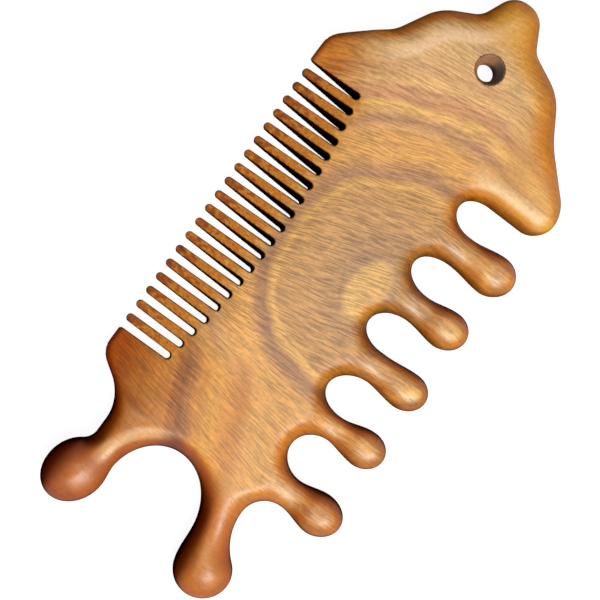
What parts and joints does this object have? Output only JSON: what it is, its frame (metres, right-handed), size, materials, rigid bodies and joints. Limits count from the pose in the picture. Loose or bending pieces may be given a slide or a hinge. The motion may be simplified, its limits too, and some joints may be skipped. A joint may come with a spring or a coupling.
{
  "type": "massage comb",
  "caption": "Fish-shaped wooden comb: wide-set tapered teeth on the back, ball-ended massage prongs on the belly, a forked tail with round ends, and a head with a round eye hole.",
  "frame": {"origin": "centre of the bounding box in plan, on the flat back face that the comb lies on", "axes": "+Z out of the face it lies on, +X along the back from the tail to the nose, +Y from the belly to the tips of the teeth"},
  "size_m": [0.1793, 0.0804, 0.012],
  "materials": {
    "wood": "oiled and polished by hand to a soft satin; golden brown heartwood with red and violet streaks"
  },
  "bodies": {
    "root": {"board": "wood", "head": "wood", "jaw": "wood", "front_guard": "wood", "rear_guard": "wood", "tooth_01": "wood", "tooth_02": "wood", "tooth_03": "wood", "tooth_04": "wood", "tooth_05": "wood", "tooth_06": "wood", "tooth_07": "wood", "tooth_08": "wood", "tooth_09": "wood", "tooth_10": "wood", "tooth_11": "wood", "tooth_12": "wood", "tooth_13": "wood", "tooth_14": "wood", "tooth_15": "wood", "tooth_16": "wood", "tooth_17": "wood", "tooth_18": "wood", "tooth_19": "wood", "massage_prong_1": "wood", "massage_prong_2": "wood", "massage_prong_3": "wood", "massage_prong_4": "wood", "massage_prong_5": "wood", "tail_lobe_upper": "wood", "tail_lobe_lower": "wood"}
  },
  "joints": []
}
